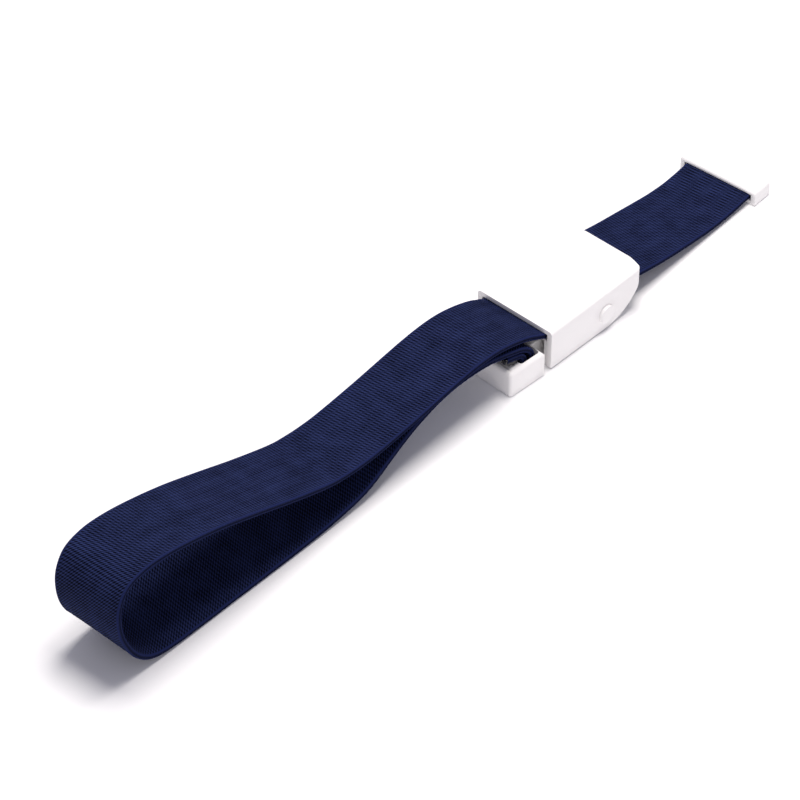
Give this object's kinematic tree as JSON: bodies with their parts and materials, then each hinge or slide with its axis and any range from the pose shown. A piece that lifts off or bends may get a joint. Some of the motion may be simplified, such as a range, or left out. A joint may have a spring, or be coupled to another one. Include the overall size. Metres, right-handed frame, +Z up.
{
  "type": "quick-release tourniquet strap",
  "caption": "Elastic limb strap that runs through a sprung lever buckle, loops back to a sliding plug and ends in a U-section clip.",
  "frame": {"origin": "on the flat underside of the buckle's tray, 13 mm in from its mouth, on the strap's centre line", "axes": "+X along the strap from the loop towards the free end, +Z up from the surface it lies on, +Y across the strap"},
  "size_m": [0.2952, 0.0349, 0.0397],
  "materials": {
    "white_plastic": "moulded white ABS, satin",
    "navy_webbing": "knitted elastic webbing with a diagonal rib, matt",
    "navy_thread": "polyester sewing thread, slight sheen",
    "steel": "drawn steel wire and rod"
  },
  "bodies": {
    "buckle": {"buckle_base": "white_plastic", "spring_pin": "steel", "lever_spring_near": "steel", "lever_spring_far": "steel", "strap": "navy_webbing", "end_clip": "white_plastic"},
    "lever": {"lever_cover": "white_plastic"},
    "plug": {"plug_body": "white_plastic", "plug_bar": "steel", "strap_plug_end": "navy_webbing", "strap_tack": "navy_thread"}
  },
  "joints": [
    {"name": "lever_tilt", "type": "hinge", "parent": "buckle", "child": "lever", "pos_m": [0.0122, 0, 0.0066], "axis": [0, 1, 0], "range_deg": [0, 5], "stiffness_Nm_per_rad": 0.12, "springref_deg": -20.05, "deforming": ["lever_spring_near", "lever_spring_far"]},
    {"name": "plug_slide", "type": "slide", "parent": "buckle", "child": "plug", "axis": [1, 0, 0], "range_m": [-0.022, 0.001], "deforming": ["strap_plug_end"]}
  ]
}
